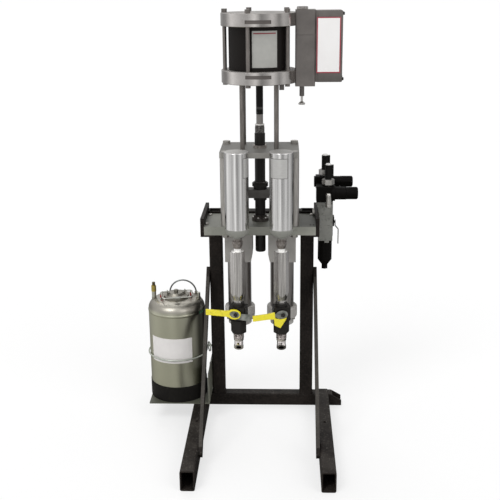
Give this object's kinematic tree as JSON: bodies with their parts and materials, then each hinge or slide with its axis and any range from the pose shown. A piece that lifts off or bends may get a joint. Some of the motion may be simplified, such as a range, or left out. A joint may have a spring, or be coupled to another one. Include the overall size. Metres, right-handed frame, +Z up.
{
  "type": "silicone dosing machine",
  "caption": "Air-driven dosing pump with surge chambers, filters and lever valves on a braced tube stand, with air controls and a pressure tank.",
  "frame": {"origin": "on the floor, under the middle of the two posts, on the posts' centre plane", "axes": "+Z up, -Y towards the front where the outlets and levers are, +X to the operator's right as seen from the front"},
  "size_m": [0.8089, 0.7214, 1.57],
  "materials": {
    "black_steel": "brown-black satin paint",
    "gray_paint": "gray-green machine paint",
    "gray_casting": "painted cast metal",
    "ground_rod": "ground steel rod",
    "zinc_fasteners": "dull zinc",
    "bronze": "worn bronze",
    "cap_aluminium": "turned aluminium",
    "black_sleeve": "black tube",
    "stainless": "brushed stainless steel",
    "black_oxide": "black oxide",
    "black_plastic": "black moulded plastic",
    "nickel": "bright nickel plate",
    "zinc_lever": "zinc plated strip",
    "yellow_vinyl": "dipped yellow vinyl",
    "tank_steel": "brushed stainless steel with an olive tint",
    "black_rubber": "black rubber",
    "brass_fittings": "brass and steel",
    "handle_steel": "dark steel wire"
  },
  "bodies": {
    "stand": {"base_crossbeam": "black_steel", "left_leg": "black_steel", "right_leg": "black_steel", "left_post": "black_steel", "right_post": "black_steel", "left_brace": "black_steel", "right_brace": "black_steel", "top_rail": "black_steel", "left_side_bracket": "black_steel", "right_side_bracket": "black_steel", "frame_bolts": "zinc_fasteners", "pump_plate": "gray_paint", "upper_plate": "gray_paint", "spacer_rods": "ground_rod", "rod_guides": "bronze", "motor_bottom_cap": "cap_aluminium", "motor_top_cap": "cap_aluminium", "motor_sleeve": "black_sleeve", "motor_tie_rods": "ground_rod", "valve_block": "gray_casting", "valve_cover": "gray_casting", "valve_fittings": "gray_casting", "pump_blocks": "gray_paint", "pump_barrels": "stainless", "pump_feet": "gray_casting", "surge_chambers": "stainless", "chamber_heads": "gray_paint", "filter_bodies": "stainless", "ball_valves": "black_oxide", "air_bracket": "gray_paint", "air_filter": "black_plastic", "air_valve": "black_plastic", "air_regulators": "black_plastic", "air_fittings": "nickel", "tank_shelf": "gray_paint", "tank_hoop": "black_steel"},
    "drive": {"motor_piston": "cap_aluminium", "motor_rod": "black_oxide", "rod_coupling": "ground_rod", "drive_rod": "black_oxide", "crosshead": "gray_casting", "crosshead_collars": "black_oxide", "pump_plungers": "ground_rod"},
    "left_lever": {"left_lever": "zinc_lever", "left_grip": "yellow_vinyl"},
    "right_lever": {"right_lever": "zinc_lever", "right_grip": "yellow_vinyl"},
    "left_outlet": {"left_outlet": "nickel"},
    "right_outlet": {"right_outlet": "nickel"},
    "reset_button": {"reset_button": "gray_casting"},
    "front_knob": {"front_knob": "black_plastic"},
    "rear_knob": {"rear_knob": "black_plastic"},
    "drain_cock": {"drain_cock": "black_plastic"},
    "air_valve_lever": {"air_valve_lever": "nickel"},
    "tank": {"tank_shell": "tank_steel", "tank_boot": "black_rubber", "tank_fittings": "brass_fittings", "carry_handle": "handle_steel"},
    "tank_lid": {"tank_lid": "tank_steel"},
    "lid_bail": {"lid_bail": "handle_steel"}
  },
  "joints": [
    {"name": "drive_stroke", "type": "slide", "parent": "stand", "child": "drive", "axis": [0, 0, 1], "range_m": [-0.0508, 0.0508]},
    {"name": "left_lever_turn", "type": "hinge", "parent": "stand", "child": "left_lever", "pos_m": [-0.078, -0.2779, 0.5075], "axis": [0.225, 0.9744, 0], "range_deg": [0, 90]},
    {"name": "right_lever_turn", "type": "hinge", "parent": "stand", "child": "right_lever", "pos_m": [0.078, -0.2779, 0.5075], "axis": [-0.1736, 0.9848, 0], "range_deg": [0, 90]},
    {"name": "left_outlet_swivel", "type": "hinge", "parent": "stand", "child": "left_outlet", "pos_m": [-0.078, -0.2779, 0.417], "axis": [0, 0, 1], "continuous": true},
    {"name": "right_outlet_swivel", "type": "hinge", "parent": "stand", "child": "right_outlet", "pos_m": [0.078, -0.2779, 0.417], "axis": [0, 0, 1], "continuous": true},
    {"name": "button_push", "type": "slide", "parent": "stand", "child": "reset_button", "axis": [0, 0, 1], "range_m": [0, 0.008], "stiffness_N_per_m": 400, "springref_m": -0.004},
    {"name": "front_knob_turn", "type": "hinge", "parent": "stand", "child": "front_knob", "pos_m": [0.32, -0.0854, 0.902], "axis": [1, 0, 0], "range_deg": [-360, 360]},
    {"name": "rear_knob_turn", "type": "hinge", "parent": "stand", "child": "rear_knob", "pos_m": [0.3, -0.0114, 0.93], "axis": [1, 0, 0], "range_deg": [-360, 360]},
    {"name": "drain_turn", "type": "hinge", "parent": "stand", "child": "drain_cock", "pos_m": [0.2425, -0.0524, 0.616], "axis": [0, 0, 1], "range_deg": [0, 270]},
    {"name": "air_lever_turn", "type": "hinge", "parent": "stand", "child": "air_valve_lever", "pos_m": [0.2755, -0.0524, 0.783], "axis": [-1, 0, 0], "range_deg": [0, 90]},
    {"name": "tank_lift", "type": "slide", "parent": "stand", "child": "tank", "axis": [0, 0, 1], "range_m": [0, 0.2]},
    {"name": "lid_lift", "type": "slide", "parent": "tank", "child": "tank_lid", "axis": [0, 0, 1], "range_m": [0, 0.1]},
    {"name": "bail_swing", "type": "hinge", "parent": "tank_lid", "child": "lid_bail", "pos_m": [-0.332, -0.0554, 0.505], "axis": [-0.9781, -0.2079, 0], "range_deg": [0, 100]}
  ]
}
